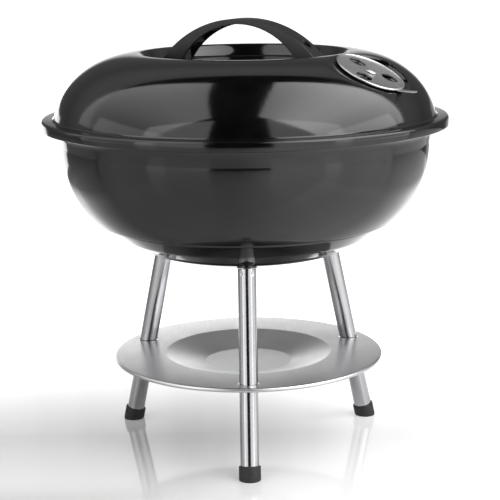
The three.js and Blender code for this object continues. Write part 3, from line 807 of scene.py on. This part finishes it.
def grate_mesh(radius, height, rim, wire, pitch, cross):
    """A ring, with parallel wires welded on top of it and two cross wires at its own level."""
    parts = [lathe(arc(radius, height, rim / 2, rim / 2, 0, 337.5, 15), even_turns(160))]
    level = height + rim / 2 + wire / 2 - WELD_DEPTH
    count = int((radius - rim) / pitch)
    for i in range(-count, count + 1):
        across = i * pitch
        parts.append(placed(rod(2 * math.sqrt(radius ** 2 - across ** 2), wire), shift(across, 0, level)))
    for out in (-cross, cross):
        bar = rod(2 * math.sqrt(radius ** 2 - out ** 2), rim)
        parts.append(placed(bar, shift(0, out, height) @ spin(90)))
    return merged(parts)


def build_inside():
    """Both grates, and the brackets that keep their CAD shape."""
    show("cooking_wires", grate_mesh(**COOKING), WIRE, "upper_grate", "cooking_grate")
    show("charcoal_wires", grate_mesh(**CHARCOAL), WIRE, "lower_grate", "charcoal_grate")
    for name in LEG_TURNS:
        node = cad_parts[f"grate_bracket_{name}"]
        node.data.materials.clear()
        node.data.materials.append(BRACKET)


# ---------- bottom vent ----------
def bottom_damper_mesh(low, top):
    """A flat disc with three holes and a finger tab that hangs below it."""
    edge = BOTTOM_RADIUS
    bends = [(edge - 3, low + 0.6), (edge + 1, low + 0.6), (edge + 16, low - 6.4), (edge + 25.8, low - 6.4)]
    path = soften(bends, 3, 6)
    outline = [*offset_line(path, -0.6), *reversed(offset_line(path, 0.6))]
    tab = placed(slab(outline, BOTTOM_TAB_WIDTH), spin(90))
    holes = []
    for turn in BOTTOM_HOLE_TURNS:
        hole = cylinder(BOTTOM_HOLE, low - 5, top + 5)
        holes.append(placed(hole, spin(turn + BOTTOM_SLACK) @ shift(BOTTOM_HOLE_OUT)))
    disc = washer(PIN_HOLE, BOTTOM_RADIUS, low, top)
    return combined(combined(disc, [tab], "UNION"), holes)


def build_bottom_vent():
    top = BOWL_BOTTOM - GAP
    low = top - VENT_PLATE
    damper = bottom_damper_mesh(low, top)
    show("bottom_disc", damper, DISC_STEEL, "bottom_damper", "bottom_vent_damper")
    spring_low = BOWL_BOTTOM + SHEET + GAP
    spring_top = spring_low + SPRING_PLATE
    rivet = lathe(rivet_line(low - GAP, spring_top + GAP), even_turns(64))
    show("bottom_rivet", rivet, ZINC, "base", "bottom_vent_rivet")
    spring = washer(SCREW_HOLE, SPRING_RADIUS, spring_low, spring_top)
    show("bottom_washer", spring, ZINC, "base", "bottom_vent_washer")


# ---------- studio ----------
SOFTBOX_STRIPS = 20
FLOOR_WIDTH = 6
FLOOR_FRONT = 1.55  # the floor stops here in front, so that the lid's upright edges reflect the dark room
FLOOR_BACK = 1.3
FLOOR_MIDDLE = (FLOOR_BACK - FLOOR_FRONT) / 2
LEFT_FADE = (0.7, 0.85, 1.1, 1.5, 1.9, 2.2, 2.3, 2.2)
RIGHT_FADE = (2.9, 3.6, 4.6, 5.2, 5.0, 4.0, 3.1, 2.4)
CARD_FADE = (2.2, 2.2, 1.8, 1.2, 0.6, 0.2)
CAMERA_PLACE = (0.0029, -1.3796, 0.4678)
CAMERA_DOWN = 0.2076  # radians below level
CAMERA_ROLL = -0.85
CAMERA_LENS = 109.8


def math_node(tree, operation, a, b=None):
    node = tree.nodes.new("ShaderNodeMath")
    node.operation = operation
    tree.links.new(a, node.inputs[0])
    if b:
        tree.links.new(b, node.inputs[1])
    return node.outputs["Value"]


def floor_material():
    """Pale and glossy, with painted light: an emission glow paints it white behind the object, less to its
    right and a little in front, and leaves a painted shadow under the object.
    """
    material, tree, shader = new_material("studio_floor", (0.4, 0.4, 0.4), 0.08)
    shade = tint(tree, noise(tree, 3), (0.39, 0.39, 0.39), (0.41, 0.41, 0.41))
    tree.links.new(shade, shader.inputs["Base Color"])
    tree.links.new(spread(tree, noise(tree, 2), 0.07, 0.1), shader.inputs["Roughness"])
    where = tree.nodes.new("ShaderNodeTexCoord")
    axes = tree.nodes.new("ShaderNodeSeparateXYZ")
    tree.links.new(where.outputs["Object"], axes.inputs["Vector"])
    under_object = -FLOOR_MIDDLE
    # Painted light: these masks paint the floor's light and shade as emission. It stays near nought right
    # under the object, where it stands for the shadow, is white behind it, adds more on the right than on the
    # left, and a little in front.
    behind = fade(tree, axes.outputs["Y"], under_object, under_object + 0.42, 0, 1)
    central = fade(tree, math_node(tree, "ABSOLUTE", axes.outputs["X"]), 0.45, 0.58, 1, 0)
    in_front = fade(tree, axes.outputs["Y"], under_object - 0.2, under_object - 0.02, 0.2, 0)
    to_the_right = fade(tree, axes.outputs["X"], -0.05, 0.22, 0.02, 0.5)
    painted_light = math_node(tree, "ADD", in_front, math_node(tree, "MULTIPLY", behind, central))
    painted_light = math_node(tree, "ADD", painted_light, to_the_right)
    tree.links.new(painted_light, shader.inputs["Emission Strength"])
    shader.inputs["Emission Color"].default_value = (1, 1, 1, 1)
    shader.inputs["Specular IOR Level"].default_value = 0.3
    return material


def build_floor():
    mesh = bmesh.new()
    bmesh.ops.create_grid(mesh, x_segments=8, y_segments=8, size=0.5)
    bmesh.ops.scale(mesh, verts=mesh.verts, vec=(FLOOR_WIDTH, FLOOR_FRONT + FLOOR_BACK, 1))
    data = bpy.data.meshes.new("studio_floor")
    mesh.to_mesh(data)
    mesh.free()
    data.materials.append(floor_material())
    floor = bpy.data.objects.new("studio_floor", data)
    bpy.context.scene.collection.objects.link(floor)
    floor.location = (0, FLOOR_MIDDLE, -0.0002)


def add_panel(name, place, facing, width, depth, *stops):
    """A softbox turned by its angles in degrees from facing down.

    With several radiance stops it is made of strips side by side that fade from stop to stop."""
    turned = Euler([math.radians(angle) for angle in facing])
    strips = SOFTBOX_STRIPS if len(stops) > 1 else 1
    share = width / strips
    for index in range(strips):
        along = (index + 0.5) / strips * (len(stops) - 1)
        stop = min(int(along), max(len(stops) - 2, 0))
        after = stops[min(stop + 1, len(stops) - 1)]
        radiance = stops[stop] + (after - stops[stop]) * (along - stop)
        light = bpy.data.lights.new(f"{name}_{index}", "AREA")
        light.shape = "RECTANGLE"
        light.size = share
        light.size_y = depth
        light.energy = math.pi * share * depth * radiance
        panel = bpy.data.objects.new(f"{name}_{index}", light)
        bpy.context.scene.collection.objects.link(panel)
        across = Vector(((index + 0.5) * share - width / 2, 0, 0))
        panel.location = Vector(place) + turned.to_matrix() @ across
        panel.rotation_euler = turned


def grey_ramp(tree, value, stops):
    """A value as a grey that changes between the given (value, grey) stops."""
    ramp = tree.nodes.new("ShaderNodeValToRGB")
    elements = ramp.color_ramp.elements
    for place, grey in stops:
        elements.new(place).color = (grey, grey, grey, 1)
    elements.remove(elements[0])
    elements.remove(elements[-1])
    tree.links.new(value, ramp.inputs["Fac"])
    return ramp.outputs["Color"]


def run_along(tree, axis, offset=(0, 0, 0)):
    """How far a direction in the room, moved by the offset, runs along an axis."""
    where = tree.nodes.new("ShaderNodeTexCoord")
    moved = tree.nodes.new("ShaderNodeVectorMath")
    moved.operation = "ADD"
    moved.inputs[1].default_value = offset
    along = tree.nodes.new("ShaderNodeVectorMath")
    along.operation = "DOT_PRODUCT"
    along.inputs[1].default_value = axis
    tree.links.new(where.outputs["Generated"], moved.inputs[0])
    tree.links.new(moved.outputs["Vector"], along.inputs[0])
    return along.outputs["Value"]


def build_world():
    """A white patch behind the object, in a dim room that is dark above and in front to keep enamel black."""
    world = bpy.data.worlds.new("studio")
    bpy.context.scene.world = world
    world.use_nodes = True
    tree = world.node_tree
    background = tree.nodes["Background"]
    low_down = run_along(tree, (0, 0.92, -0.38))
    sideways = run_along(tree, (0.5, 0, 0), (1, 0, 0))
    room = grey_ramp(tree, low_down, ((0.13, 0.01), (0.17, 0.45), (0.33, 0.4), (0.58, 0.15), (0.84, 0.1)))
    patch_height = grey_ramp(tree, low_down, ((0.84, 0), (0.905, 1)))
    patch_width = grey_ramp(tree, sideways, ((0.34, 0), (0.4, 1), (0.6, 1), (0.66, 0)))
    patch = math_node(tree, "MULTIPLY", patch_height, patch_width)
    tree.links.new(math_node(tree, "ADD", room, patch), background.inputs["Color"])
    background.inputs["Strength"].default_value = 1.1


def build_camera():
    lens = bpy.data.cameras.new("camera")
    lens.sensor_width = 36
    lens.lens = CAMERA_LENS
    camera = bpy.data.objects.new("camera", lens)
    bpy.context.scene.collection.objects.link(camera)
    camera.location = CAMERA_PLACE
    level = Euler((math.pi / 2 - CAMERA_DOWN, 0, 0)).to_matrix()
    camera.rotation_euler = (level @ Matrix.Rotation(math.radians(CAMERA_ROLL), 3, "Z")).to_euler()
    bpy.context.scene.camera = camera


def build_studio():
    build_floor()
    build_world()
    add_panel("left_roof", (-1.074, -0.455, 1.227), (0, -47, -11.5), 1.84, 1.9, *LEFT_FADE)
    add_panel("right_roof", (0.889, -0.575, 1.227), (0, 47, 0), 1.84, 1.85, *RIGHT_FADE)
    add_panel("left_front", (-1.85, -1.75, 0.65), (90, 0, 0), 2.4, 2.5, 1.7)
    add_panel("right_front", (1.65, -1.75, 0.65), (90, 0, 0), 2.4, 2.5, 1.6)
    add_panel("left_side", (-1.95, -0.75, 0.4), (0, -90, 0), 1.4, 2.0, 0.9)
    add_panel("right_side", (1.95, -0.75, 0.4), (0, 90, 0), 1.4, 2.0, 1.5)
    add_panel("back_card", (-0.05, 0.72, 0.2), (-90, 0, 0), 1.3, 0.26, *CARD_FADE)
    build_camera()
    bpy.context.scene.view_settings.view_transform = "Standard"


build_lid()
show("bowl_enamel", bowl_mesh(), ENAMEL, "base", "bowl", 38)
build_legs()
show("tray_plate", tray_mesh(), PLATE_STEEL, "base", "ash_tray")
build_inside()
build_bottom_vent()
build_studio()
